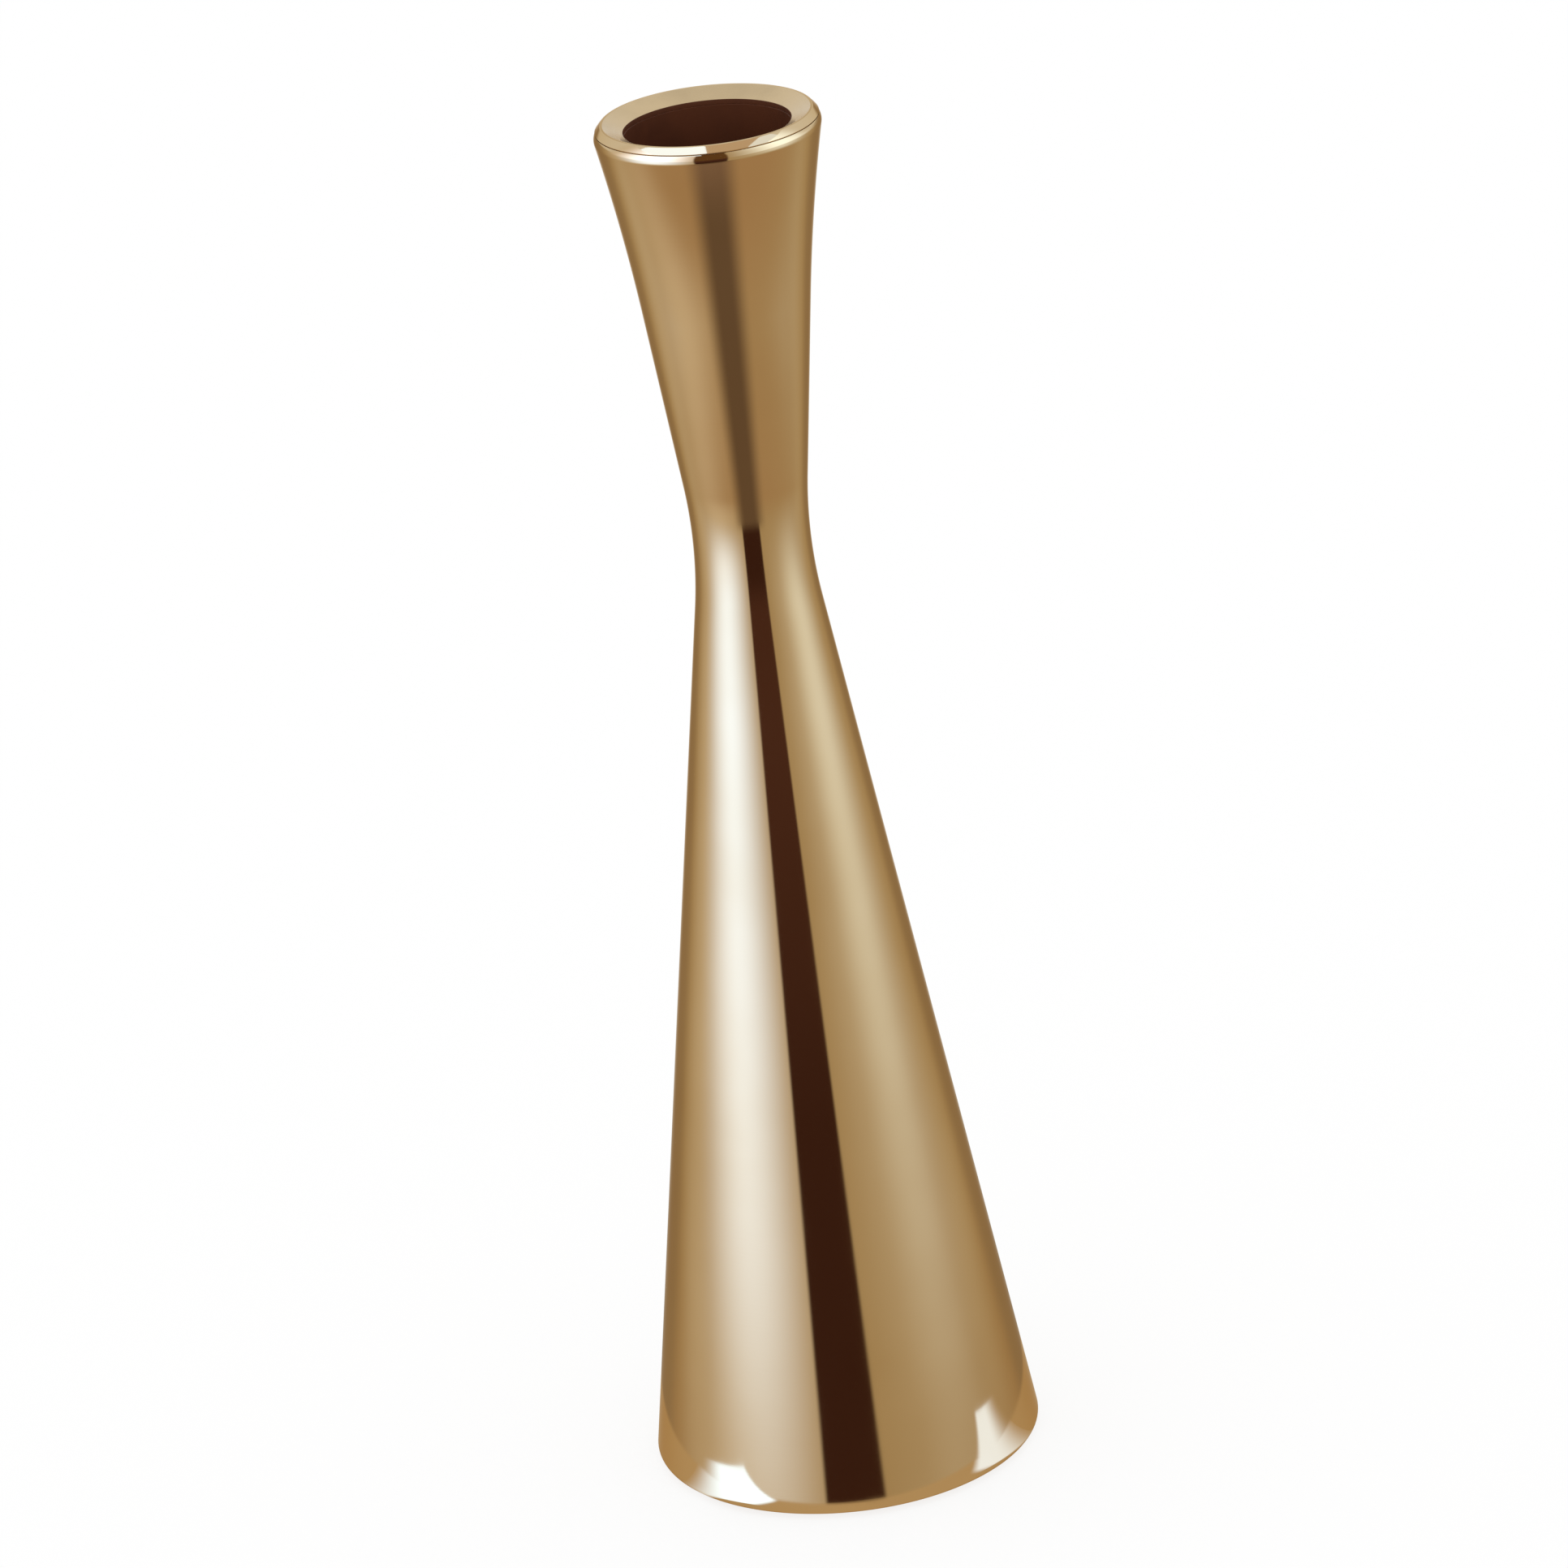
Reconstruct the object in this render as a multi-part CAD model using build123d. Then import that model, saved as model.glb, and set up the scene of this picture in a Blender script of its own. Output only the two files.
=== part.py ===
from build123d import *

import os
from math import asin, atan2, cos, hypot, radians, sin, sqrt, tan

# Hourglass candle holder: two spun brass cones drawn together by a tie rod hidden inside them.
# Millimetres, +Z up. The origin is the centre of the felt's underside, where the holder stands.
# Every piece is turned about Z, and what seats in the cones is cut from the same stem contour.

# Outer form of the stem
lower_cone_height = 134.8  # metal edge of the foot to the waist
upper_cone_height = 58.2  # waist to the shell's lip
foot_diameter = 54.2  # sharp corner of the foot, before its edge is rounded
waist_diameter = 16.0
waist_arc_radius = 68.0
upper_cone_angle = 6.6  # degrees from the axis, just above the waist
flare_length = 26.0  # how far below the top face the rim begins to flare

# Spun shells
shell_wall = 1.0
rim_shoulder_radius = 1.2
rim_land_width = 1.24  # the shell's share of the rim, at the top face, before its shoulder is rounded
foot_edge_radius = 1.0
foot_hem_width = 3.5  # edge rolled in under the base plate
hem_edge_radius = 0.3

# Candle cup
socket_bore_diameter = 22.4  # takes a 22 mm taper candle
socket_depth = 21.0  # top face to the floor of the cup
cup_wall = 0.6
cup_flange_width = 1.6
cup_flange_thickness = 0.6
cup_floor_radius = 2.0  # inside corner of the drawn floor
cup_floor_wall_share = 0.8  # the corner takes up no more of the wall above it than this
cup_lift_gap = 0.5  # between the cup and what it slides past

# Rim ring, swaged over the cup's flange
ring_skirt_width = 0.75  # the ring's wall outside the flange
ring_proud_height = 0.8  # above the shell's lip
ring_bore_step = 0.2  # the ring's hole is this much wider than the socket, on the radius
ring_bore_land = 0.15  # straight part of the ring's hole, below its round
ring_crest_share = 0.64  # where the round top is highest, from the hole to the outside
ring_joint_gap = 0.2  # the fine line between the ring and the shell's lip

# Tie rod and its hardware
rod_diameter = 6.0
rod_hole_clearance = 0.2
rod_thread_clearance = 0.05
rod_nut_overhang = 2.0
rod_end_chamfer = 0.6
rod_cup_gap = 4.6  # between the rod's top end and the cup
nut_across_flats = 10.0
nut_height = 5.2
nut_corner_chamfer = 0.6
washer_diameter = 12.0
washer_thickness = 1.6
lock_washer_diameter = 10.6
lock_washer_thickness = 1.6
lock_washer_slit = 1.0
lock_washer_slit_angle = 20.0  # degrees from the axis

# Clamping cone in the upper shell and sleeve in the waist
clamp_cone_height = 9.0
clamp_cone_edge_chamfer = 0.5
sleeve_depth = 11.0  # how far it reaches down into the lower neck
sleeve_end_chamfer = 0.8
sleeve_top_gap = 3.8  # below the clamping cone

# Foot
felt_stand_height = 0.5  # felt below the metal edge
felt_side_gap = 0.4
base_plate_thickness = 1.5
ballast_height = 45.0
ballast_top_chamfer = 2.0
nut_pocket_side_gap = 2.5  # room for a spanner round the washer
nut_pocket_end_gap = 3.6  # between the rod's bottom end and the base plate

# Fits and cuts
seat_gap = 0.1  # between a piece and the shell wall that it seats in
slip_gap = 0.05  # between pieces that are slipped or swaged together
overrun = 5.0  # how far a cutting solid runs past what it cuts

# Radii, from the axis outwards
bore_radius = socket_bore_diameter / 2
cup_radius = bore_radius + cup_wall
cup_flange_radius = cup_radius + cup_flange_width
ring_radius = cup_flange_radius + slip_gap + ring_skirt_width
ring_hole_radius = bore_radius + ring_bore_step
ring_inner_round = (ring_radius - ring_hole_radius) * ring_crest_share
ring_outer_round = ring_radius - ring_hole_radius - ring_inner_round
ring_seat_radius = ring_radius + ring_joint_gap
rim_radius = ring_seat_radius + rim_land_width
waist_radius = waist_diameter / 2
foot_radius = foot_diameter / 2
hem_opening_radius = foot_radius - foot_hem_width
rod_radius = rod_diameter / 2
rod_hole_radius = rod_radius + rod_hole_clearance
thread_hole_radius = rod_radius + rod_thread_clearance
nut_pocket_radius = washer_diameter / 2 + nut_pocket_side_gap

# Heights, from the table upwards
foot_bottom = felt_stand_height
hem_top = foot_bottom + shell_wall
plate_top = hem_top + base_plate_thickness
rod_bottom = plate_top + nut_pocket_end_gap
bottom_nut_low = rod_bottom + rod_nut_overhang
lock_washer_low = bottom_nut_low + nut_height
bottom_washer_low = lock_washer_low + lock_washer_thickness
nut_pocket_top = bottom_washer_low + washer_thickness
ballast_top = plate_top + ballast_height
waist_height = foot_bottom + lower_cone_height
lip_top = waist_height + upper_cone_height
top_face = lip_top + ring_proud_height
flange_top = top_face - ring_inner_round - ring_bore_land
seat_top = flange_top - cup_flange_thickness
seat_bottom = seat_top - shell_wall
flare_start = top_face - flare_length

# Heights of the upper hardware, from the cup downwards
cup_floor_top = top_face - socket_depth
cup_bottom = cup_floor_top - cup_wall
rod_top = cup_bottom - rod_cup_gap
top_nut_low = rod_top - rod_nut_overhang - nut_height
top_washer_low = top_nut_low - washer_thickness
clamp_cone_low = top_washer_low - clamp_cone_height
sleeve_top = clamp_cone_low - sleeve_top_gap
sleeve_bottom = waist_height - sleeve_depth


def contour_point(radius, height, angle, inset):
    """A point of the stem's contour, moved inwards square to the wall; angle is the wall's lean."""
    return (radius - inset * cos(angle), height + inset * sin(angle))


def stem_face(inset):
    """Half of the stem's section, radius by height, its wall moved inwards, running past both ends."""
    arc_centre_radius = waist_radius + waist_arc_radius
    across = arc_centre_radius - foot_radius
    up = waist_height - foot_bottom
    lower_angle = -(asin(waist_arc_radius / hypot(across, up)) - atan2(across, up))
    upper_angle = radians(upper_cone_angle)

    def on_waist(angle):
        radius = arc_centre_radius - waist_arc_radius * cos(angle)
        height = waist_height + waist_arc_radius * sin(angle)
        return contour_point(radius, height, angle, inset)

    waist_end_radius = arc_centre_radius - waist_arc_radius * cos(upper_angle)
    waist_end_height = waist_height + waist_arc_radius * sin(upper_angle)
    flare_radius = waist_end_radius + (flare_start - waist_end_height) * tan(upper_angle)
    chord_angle = atan2(rim_radius - flare_radius, flare_length)
    rim_angle = 2 * chord_angle - upper_angle

    foot = contour_point(foot_radius, foot_bottom, lower_angle, inset)
    foot_end = (foot[0] - overrun * tan(lower_angle), foot[1] - overrun)
    flare = contour_point(flare_radius, flare_start, upper_angle, inset)
    rim = contour_point(rim_radius, top_face, rim_angle, inset)
    rim_end = (rim[0] + overrun * tan(rim_angle), rim[1] + overrun)
    edges = [
        Line(foot_end, on_waist(lower_angle)),
        ThreePointArc(
            on_waist(lower_angle),
            on_waist((lower_angle + upper_angle) / 2),
            on_waist(upper_angle),
        ),
        Line(on_waist(upper_angle), flare),
        TangentArc(flare, rim, tangent=(sin(upper_angle), cos(upper_angle))),
        Line(rim, rim_end),
        Line(rim_end, (0, rim_end[1])),
        Line((0, rim_end[1]), (0, foot_end[1])),
        Line((0, foot_end[1]), foot_end),
    ]
    return make_face(edges)


def band_face(radius, low, high):
    """Half of a drum's section, radius by height."""
    return Pos(0, low) * Rectangle(radius, high - low, align=(Align.MIN, Align.MIN))


def slice_face(inset, low, high):
    """The part of the stem's section that lies between two heights."""
    return stem_face(inset) & band_face(foot_diameter, low, high)


def outer_corner(face, end):
    """The corner of a section farthest from the axis, at its bottom (end 0) or its top (end -1)."""
    return face.vertices().group_by(Axis.Y)[end].sort_by(Axis.X)[-1]


def turned(face):
    """A section turned about the axis."""
    return revolve(Plane.XZ * face, Axis.Z)


def stem_slice(inset, low, high):
    """The part of the inset stem that lies between two heights."""
    return turned(slice_face(inset, low, high))


def drum(radius, low, high):
    """An upright cylinder on the axis between two heights."""
    return Pos(0, 0, low) * Cylinder(
        radius, high - low, align=(Align.CENTER, Align.CENTER, Align.MIN)
    )


def rim_edge(piece, end):
    """The largest circle at the bottom (end 0) or the top (end -1) of a turned piece."""
    return piece.edges().filter_by(GeomType.CIRCLE).group_by(Axis.Z)[end].sort_by(SortBy.RADIUS)[-1]


def hole_edge(piece, end):
    """The smallest circle at the bottom (end 0) or the top (end -1) of a turned piece."""
    return piece.edges().filter_by(GeomType.CIRCLE).group_by(Axis.Z)[end].sort_by(SortBy.RADIUS)[0]


def make_lower_shell():
    shell = stem_slice(0, foot_bottom, waist_height)
    shell -= stem_slice(shell_wall, hem_top, waist_height + overrun)
    shell -= drum(hem_opening_radius, foot_bottom - overrun, hem_top + overrun)
    shell = fillet(rim_edge(shell, 0), foot_edge_radius)
    return fillet(hole_edge(shell, 0), hem_edge_radius)


def make_upper_shell():
    section = slice_face(0, waist_height, lip_top)
    shell = turned(fillet(outer_corner(section, -1), rim_shoulder_radius))
    shell -= stem_slice(shell_wall, waist_height - overrun, seat_bottom)
    shell -= drum(cup_radius + cup_lift_gap, seat_bottom - overrun, lip_top + overrun)
    return shell - drum(ring_seat_radius, seat_top, lip_top + overrun)


def make_rim_ring():
    """A ring with a half-round top, steeper outside its crest, hollowed below for the cup's flange."""
    crest = (ring_hole_radius + ring_inner_round, top_face)
    inner_round_low = top_face - ring_inner_round
    outer_round_low = top_face - ring_outer_round
    pocket_radius = cup_flange_radius + slip_gap
    edges = [
        CenterArc((crest[0], inner_round_low), ring_inner_round, 90, 90),
        CenterArc((crest[0], outer_round_low), ring_outer_round, 0, 90),
        Polyline(
            (ring_radius, outer_round_low),
            (ring_radius, seat_top),
            (pocket_radius, seat_top),
            (pocket_radius, flange_top),
            (ring_hole_radius, flange_top),
            (ring_hole_radius, inner_round_low),
        ),
    ]
    return turned(make_face(edges))


def round_floor(face, radius):
    """A cup's section with its floor corner rounded, less where the wall above the corner is short."""
    corner = outer_corner(face, 0)
    wall = ShapeList(edge for edge in face.edges() if corner in edge.vertices()).sort_by(Axis.Y)[-1]
    return fillet(corner, min(radius, wall.length * cup_floor_wall_share))


def make_candle_cup():
    """A drawn cup: straight where the candle is gripped, then following the narrowing shell."""
    outer_inset = shell_wall + cup_lift_gap
    outside = slice_face(outer_inset, cup_bottom, flange_top)
    outside &= band_face(cup_radius, cup_bottom, flange_top)
    outside = round_floor(outside, cup_floor_radius + cup_wall)
    inside = slice_face(outer_inset + cup_wall, cup_floor_top, flange_top + overrun)
    inside &= band_face(bore_radius, cup_floor_top, flange_top + overrun)
    inside = round_floor(inside, cup_floor_radius)
    flange = band_face(cup_flange_radius, seat_top, flange_top)
    return turned(outside + flange - inside)


def make_clamp_cone():
    cone = stem_slice(shell_wall + seat_gap, clamp_cone_low, top_washer_low)
    cone -= drum(rod_hole_radius, clamp_cone_low - overrun, top_washer_low + overrun)
    return chamfer(rim_edge(cone, -1), clamp_cone_edge_chamfer)


def make_waist_sleeve():
    sleeve = drum(waist_radius - shell_wall - slip_gap, sleeve_bottom, sleeve_top)
    sleeve -= drum(rod_hole_radius, sleeve_bottom - overrun, sleeve_top + overrun)
    return chamfer([rim_edge(sleeve, 0), rim_edge(sleeve, -1)], sleeve_end_chamfer)


def make_washer(bottom):
    washer = drum(washer_diameter / 2, bottom, bottom + washer_thickness)
    return washer - drum(rod_hole_radius, bottom - overrun, bottom + washer_thickness + overrun)


def make_lock_washer(bottom):
    """A spring washer, cut through on one side by a leaning slit."""
    top = bottom + lock_washer_thickness
    washer = drum(lock_washer_diameter / 2, bottom, top)
    washer -= drum(rod_hole_radius, bottom - overrun, top + overrun)
    slit = Box(
        lock_washer_diameter,
        lock_washer_slit,
        lock_washer_thickness + overrun,
        align=(Align.MIN, Align.CENTER, Align.CENTER),
    )
    slit_height = (bottom + top) / 2
    return washer - Pos(0, 0, slit_height) * Rot(lock_washer_slit_angle, 0, 0) * slit


def make_nut(bottom):
    """A hexagon nut with its corners chamfered on both faces."""
    corner_radius = nut_across_flats / sqrt(3)
    blank = drum(corner_radius, bottom, bottom + nut_height)
    blank = chamfer([rim_edge(blank, 0), rim_edge(blank, -1)], nut_corner_chamfer)
    hexagon = extrude(RegularPolygon(corner_radius, side_count=6), nut_height)
    nut = blank & (Pos(0, 0, bottom) * hexagon)
    return nut - drum(thread_hole_radius, bottom - overrun, bottom + nut_height + overrun)


def make_tie_rod():
    rod = drum(rod_radius, rod_bottom, rod_top)
    return chamfer([rim_edge(rod, 0), rim_edge(rod, -1)], rod_end_chamfer)


def make_ballast():
    ballast = stem_slice(shell_wall + seat_gap, plate_top, ballast_top)
    ballast -= drum(rod_hole_radius, plate_top - overrun, ballast_top + overrun)
    ballast -= drum(nut_pocket_radius, plate_top - overrun, nut_pocket_top)
    return chamfer(rim_edge(ballast, -1), ballast_top_chamfer)


def make_base_plate():
    return stem_slice(shell_wall + seat_gap, hem_top, plate_top)


def make_felt_pad():
    return drum(hem_opening_radius - felt_side_gap, 0, hem_top)


def main():
    pieces = {
        "lower_shell": make_lower_shell(),
        "upper_shell": make_upper_shell(),
        "rim_ring": make_rim_ring(),
        "candle_cup": make_candle_cup(),
        "clamp_cone": make_clamp_cone(),
        "waist_sleeve": make_waist_sleeve(),
        "tie_rod": make_tie_rod(),
        "top_washer": make_washer(top_washer_low),
        "top_nut": make_nut(top_nut_low),
        "bottom_washer": make_washer(bottom_washer_low),
        "bottom_lock_washer": make_lock_washer(lock_washer_low),
        "bottom_nut": make_nut(bottom_nut_low),
        "ballast_weight": make_ballast(),
        "base_plate": make_base_plate(),
        "felt_pad": make_felt_pad(),
    }
    os.makedirs("parts", exist_ok=True)
    for name, piece in pieces.items():
        export_step(piece, f"parts/{name}.step")


main()
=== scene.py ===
import math
import random

import bmesh
import bpy
from mathutils import Matrix, Vector, noise


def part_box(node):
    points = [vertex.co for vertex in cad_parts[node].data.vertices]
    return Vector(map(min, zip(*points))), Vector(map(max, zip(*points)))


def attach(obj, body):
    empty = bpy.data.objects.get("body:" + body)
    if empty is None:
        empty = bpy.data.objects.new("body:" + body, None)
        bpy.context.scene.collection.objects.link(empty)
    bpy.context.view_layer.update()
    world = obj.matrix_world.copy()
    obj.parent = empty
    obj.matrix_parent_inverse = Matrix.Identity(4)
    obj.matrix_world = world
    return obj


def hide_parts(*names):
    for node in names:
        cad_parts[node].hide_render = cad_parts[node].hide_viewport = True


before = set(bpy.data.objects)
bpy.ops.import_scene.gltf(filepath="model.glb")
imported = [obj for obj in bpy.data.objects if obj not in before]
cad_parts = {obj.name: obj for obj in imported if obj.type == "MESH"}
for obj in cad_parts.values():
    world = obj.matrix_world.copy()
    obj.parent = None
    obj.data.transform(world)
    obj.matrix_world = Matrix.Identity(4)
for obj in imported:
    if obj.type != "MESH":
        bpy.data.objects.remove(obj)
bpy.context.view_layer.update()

scene = bpy.context.scene
scene.view_settings.view_transform = "Standard"
mm = 0.001  # sections are written in millimetres, meshes in metres
onAxis = 1e-6  # mm
samePoint = 1e-5
fullTurn = 2 * math.pi


def low(node):
    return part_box(node)[0].z / mm


def high(node):
    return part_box(node)[1].z / mm


def wide(node):
    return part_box(node)[1].x / mm


# the stem: lower cone, waist arc, upper cone, flare arc; heights come from the frame
stem = {
    "footRadius": 27.1,
    "waistRadius": 8.0,
    "waistArc": 68.0,
    "upperAngle": 6.6,
    "flareLength": 26.0,
    "rimRadius": 15.64,
    "wall": 1.0,
}
footBottom = low("lower_shell")
waistHeight = high("lower_shell")
topFace = high("rim_ring")

# both arcs run into the cones without a break
arcCentre = stem["waistRadius"] + stem["waistArc"]
footAway, footDrop = arcCentre - stem["footRadius"], waistHeight - footBottom
lowerAngle = math.atan2(footAway, footDrop) - math.asin(stem["waistArc"] / math.hypot(footAway, footDrop))
upperAngle = math.radians(stem["upperAngle"])
waistEnd = (
    arcCentre - stem["waistArc"] * math.cos(upperAngle),
    waistHeight + stem["waistArc"] * math.sin(upperAngle),
)
flareStart = topFace - stem["flareLength"]
flareRadius = waistEnd[0] + (flareStart - waistEnd[1]) * math.tan(upperAngle)
flareChord = math.atan2(stem["rimRadius"] - flareRadius, stem["flareLength"])
flareArc = stem["flareLength"] / math.cos(flareChord) / 2 / math.sin(flareChord - upperAngle)
flareCentre = (
    flareRadius + flareArc * math.cos(upperAngle),
    flareStart - flareArc * math.sin(upperAngle),
)


def wallRadius(z, inset):
    # radius of the stem at a height, its wall moved inwards square to itself
    waistReach, flareReach = stem["waistArc"] + inset, flareArc + inset
    if z < waistHeight + waistReach * math.sin(lowerAngle):
        return stem["footRadius"] + (z - footBottom) * math.tan(lowerAngle) - inset / math.cos(lowerAngle)
    if z < waistHeight + waistReach * math.sin(upperAngle):
        return arcCentre - math.sqrt(waistReach**2 - (z - waistHeight) ** 2)
    if z < flareCentre[1] + flareReach * math.sin(upperAngle):
        return waistEnd[0] + (z - waistEnd[1]) * math.tan(upperAngle) - inset / math.cos(upperAngle)
    return flareCentre[0] - math.sqrt(flareReach**2 - (z - flareCentre[1]) ** 2)


def wallRun(fromZ, toZ, inset, steps):
    # points up or down the stem's wall, closer together near both ends
    shares = [(1 - math.cos(math.pi * i / steps)) / 2 for i in range(steps + 1)]
    heights = [fromZ + (toZ - fromZ) * s for s in shares]
    return [(wallRadius(z, inset), z) for z in heights]


def onCircle(centre, radius, angle):
    # a point in the section, its angle in degrees from straight outwards
    a = math.radians(angle)
    return (centre[0] + radius * math.cos(a), centre[1] + radius * math.sin(a))


def arc(centre, radius, start, end, steps):
    return [onCircle(centre, radius, start + (end - start) * i / steps) for i in range(steps + 1)]


def straight(start, end, steps):
    (r0, z0), (r1, z1) = start, end
    return [(r0 + (r1 - r0) * i / steps, z0 + (z1 - z0) * i / steps) for i in range(steps + 1)]


def eased(section, radius, steps=3, flattest=150, largestShare=0.45):
    # the same section with every corner sharper than flattest broken by a small round
    out = []
    for i, corner in enumerate(section):
        here = Vector(corner)
        a, b = Vector(section[i - 1]) - here, Vector(section[(i + 1) % len(section)]) - here
        if min(here.x, a.length, b.length) < onAxis or a.angle(b) > math.radians(flattest):
            out.append(tuple(here))
            continue
        cut = min(radius, a.length * largestShare, b.length * largestShare)
        start, end = here + a.normalized() * cut, here + b.normalized() * cut
        for t in [k / steps for k in range(steps + 1)]:
            out.append(tuple(start * (1 - t) ** 2 + here * 2 * t * (1 - t) + end * t**2))
    return out


def addPiece(name, mesh, material, body, stands=()):
    piece = bpy.data.objects.new(name, mesh)
    scene.collection.objects.link(piece)
    for m in material if isinstance(material, (list, tuple)) else [material]:
        mesh.materials.append(m)
    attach(piece, body)
    if stands:
        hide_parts(*stands)
    return piece


def finishedMesh(name, bm, sharp=None):
    bmesh.ops.recalc_face_normals(bm, faces=bm.faces)
    mesh = bpy.data.meshes.new(name)
    bm.to_mesh(mesh)
    bm.free()
    if sharp:
        mesh.set_sharp_from_angle(angle=math.radians(sharp))
    return mesh


def apart(p, q):
    return (Vector(p) - Vector(q)).length


def turnedMesh(name, runs, around=160, sharp=32, shape=None):
    # turns a closed section about Z; each run of points has its own material index,
    # and shape(radius, z, turn) may change the radius on the way round
    points, kinds = [], []
    for index, run in enumerate(runs):
        for p in run:
            if not points or apart(p, points[-1]) > samePoint:
                points.append(p)
                kinds.append(index)
    if apart(points[0], points[-1]) < samePoint:
        points.pop()
        kinds.pop()
    count = len(points)
    lengths = [0.0]
    for i in range(count):
        lengths.append(lengths[-1] + apart(points[(i + 1) % count], points[i]))
    bm = bmesh.new()
    uv = bm.loops.layers.uv.new("OFBake")
    turns = [fullTurn * j / around for j in range(around)]
    circles = []
    for r, z in points:
        if r < onAxis:
            circles.append([bm.verts.new((0, 0, z * mm))])
            continue
        reach = [(shape(r, z, t) if shape else r) * mm for t in turns]
        circles.append([bm.verts.new((q * math.cos(t), q * math.sin(t), z * mm)) for q, t in zip(reach, turns)])
    for i in range(count):
        near, far = circles[i], circles[(i + 1) % count]
        if len(near) == len(far) == 1:
            continue
        v0, v1 = lengths[i] / lengths[-1], lengths[i + 1] / lengths[-1]
        for j in range(around):
            k = (j + 1) % around
            corners = [
                (near[j % len(near)], j, v0),
                (near[k % len(near)], j + 1, v0),
                (far[k % len(far)], j + 1, v1),
                (far[j % len(far)], j, v1),
            ]
            if len(near) == 1:
                corners.pop(1)
            elif len(far) == 1:
                corners.pop(2)
            face = bm.faces.new([vert for vert, u, v in corners])
            face.smooth = True
            face.material_index = kinds[(i + 1) % count]
            for loop, (vert, u, v) in zip(face.loops, corners):
                loop[uv].uv = (u / around, v)
    return finishedMesh(name, bm, sharp)


# small helpers for node trees
def addNode(tree, kind, inputs=None, **settings):
    node = tree.nodes.new(kind)
    for key, value in settings.items():
        setattr(node, key, value)
    for key, value in (inputs or {}).items():
        if isinstance(value, bpy.types.NodeSocket):
            tree.links.new(value, node.inputs[key])
        else:
            node.inputs[key].default_value = value
    return node


def calc(tree, operation, a, b=0.0):
    return addNode(tree, "ShaderNodeMath", {0: a, 1: b}, operation=operation).outputs[0]


def vectorCalc(tree, operation, inputs):
    return addNode(tree, "ShaderNodeVectorMath", inputs, operation=operation).outputs


def ramp(tree, value, fromMin, fromMax, toMin=0.0, toMax=1.0):
    inputs = dict(enumerate((value, fromMin, fromMax, toMin, toMax)))
    return addNode(tree, "ShaderNodeMapRange", inputs, interpolation_type="SMOOTHSTEP").outputs[0]


def rgb(r, g, b):
    return (r, g, b, 1.0)


def blendColours(tree, share, a, b):
    a, b = (v if isinstance(v, bpy.types.NodeSocket) else rgb(*v) for v in (a, b))
    return addNode(tree, "ShaderNodeMix", {0: share, 6: a, 7: b}, data_type="RGBA").outputs[2]


def grain(tree, coords, scale, detail, stretch=(1, 1, 1)):
    # noise in metres; a smaller factor draws it out along that axis
    placed = addNode(tree, "ShaderNodeMapping", {"Vector": coords, "Scale": stretch}).outputs[0]
    return addNode(tree, "ShaderNodeTexNoise", {"Vector": placed, "Scale": scale, "Detail": detail}).outputs[0]


def newMaterial(name):
    material = bpy.data.materials.new(name)
    material.use_nodes = True
    tree = material.node_tree
    coords = addNode(tree, "ShaderNodeTexCoord").outputs["Object"]
    return material, tree, tree.nodes["Principled BSDF"], coords


def setBump(tree, shader, height, strength, distance):
    bump = addNode(tree, "ShaderNodeBump", {"Height": height, "Strength": strength, "Distance": distance})
    tree.links.new(bump.outputs[0], shader.inputs["Normal"])


def setEven(shader, values):
    # what is the same all over the surface
    for socket, value in values.items():
        shader.inputs[socket].default_value = value


# finishes: a noise is scale, detail and stretch, a bump is strength and distance in metres,
# and a pair named ...From is the noise levels between which the second tone comes in
# brass: polished and lacquered outside, left satin from spinning inside
brass = {
    "colour": (0.775, 0.60, 0.368),
    "deepColour": (0.735, 0.555, 0.325),
    "deepFrom": (0.35, 0.75),
    "cloud": (38.0, 3.0),
    "smear": (150.0, 4.0, (1, 1, 0.25)),
    "smearFrom": (0.4, 0.8),
    "spinLines": (1.0, 3.0, (60, 60, 5200)),
    "lineBump": (0.12, 0.000004),
    "polish": 0.045,
    "haze": 0.04,
    "lineHaze": 0.4,  # share of the haze
    "edgeTint": (0.79, 0.645, 0.455),
    "lacquer": 0.2,
    "lacquerRoughness": 0.04,
    "lacquerIndex": 1.5,
}


def polishedBrass():
    material, tree, shader, coords = newMaterial("polishedBrass")
    lines, cloud, smear = (grain(tree, coords, *brass[key]) for key in ("spinLines", "cloud", "smear"))
    shade = ramp(tree, cloud, *brass["deepFrom"])
    tree.links.new(blendColours(tree, shade, brass["colour"], brass["deepColour"]), shader.inputs["Base Color"])
    smeared = calc(tree, "MULTIPLY", ramp(tree, smear, *brass["smearFrom"]), brass["haze"])
    lined = calc(tree, "MULTIPLY", lines, brass["haze"] * brass["lineHaze"])
    haze = calc(tree, "ADD", smeared, lined)
    tree.links.new(calc(tree, "ADD", haze, brass["polish"]), shader.inputs["Roughness"])
    setBump(tree, shader, lines, *brass["lineBump"])
    setEven(shader, {
        "Metallic": 1.0,
        "Specular Tint": rgb(*brass["edgeTint"]),
        "Coat Weight": brass["lacquer"],
        "Coat Roughness": brass["lacquerRoughness"],
        "Coat IOR": brass["lacquerIndex"],
    })
    return material


def mottled(name, look):
    # clouds of a second tone; finer marks dent the surface, and one of the two noises roughens it
    material, tree, shader, coords = newMaterial(name)
    noises = {key: grain(tree, coords, *look[key]) for key in ("marks", "cloud")}
    share = ramp(tree, noises["cloud"], *look["otherFrom"])
    tree.links.new(blendColours(tree, share, look["colour"], look["other"]), shader.inputs["Base Color"])
    rough = calc(tree, "MULTIPLY", noises[look["roughBy"]], look["roughSpread"])
    tree.links.new(calc(tree, "ADD", rough, look["roughness"]), shader.inputs["Roughness"])
    setBump(tree, shader, noises["marks"], *look["bump"])
    setEven(shader, look["even"])
    return material


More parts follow.
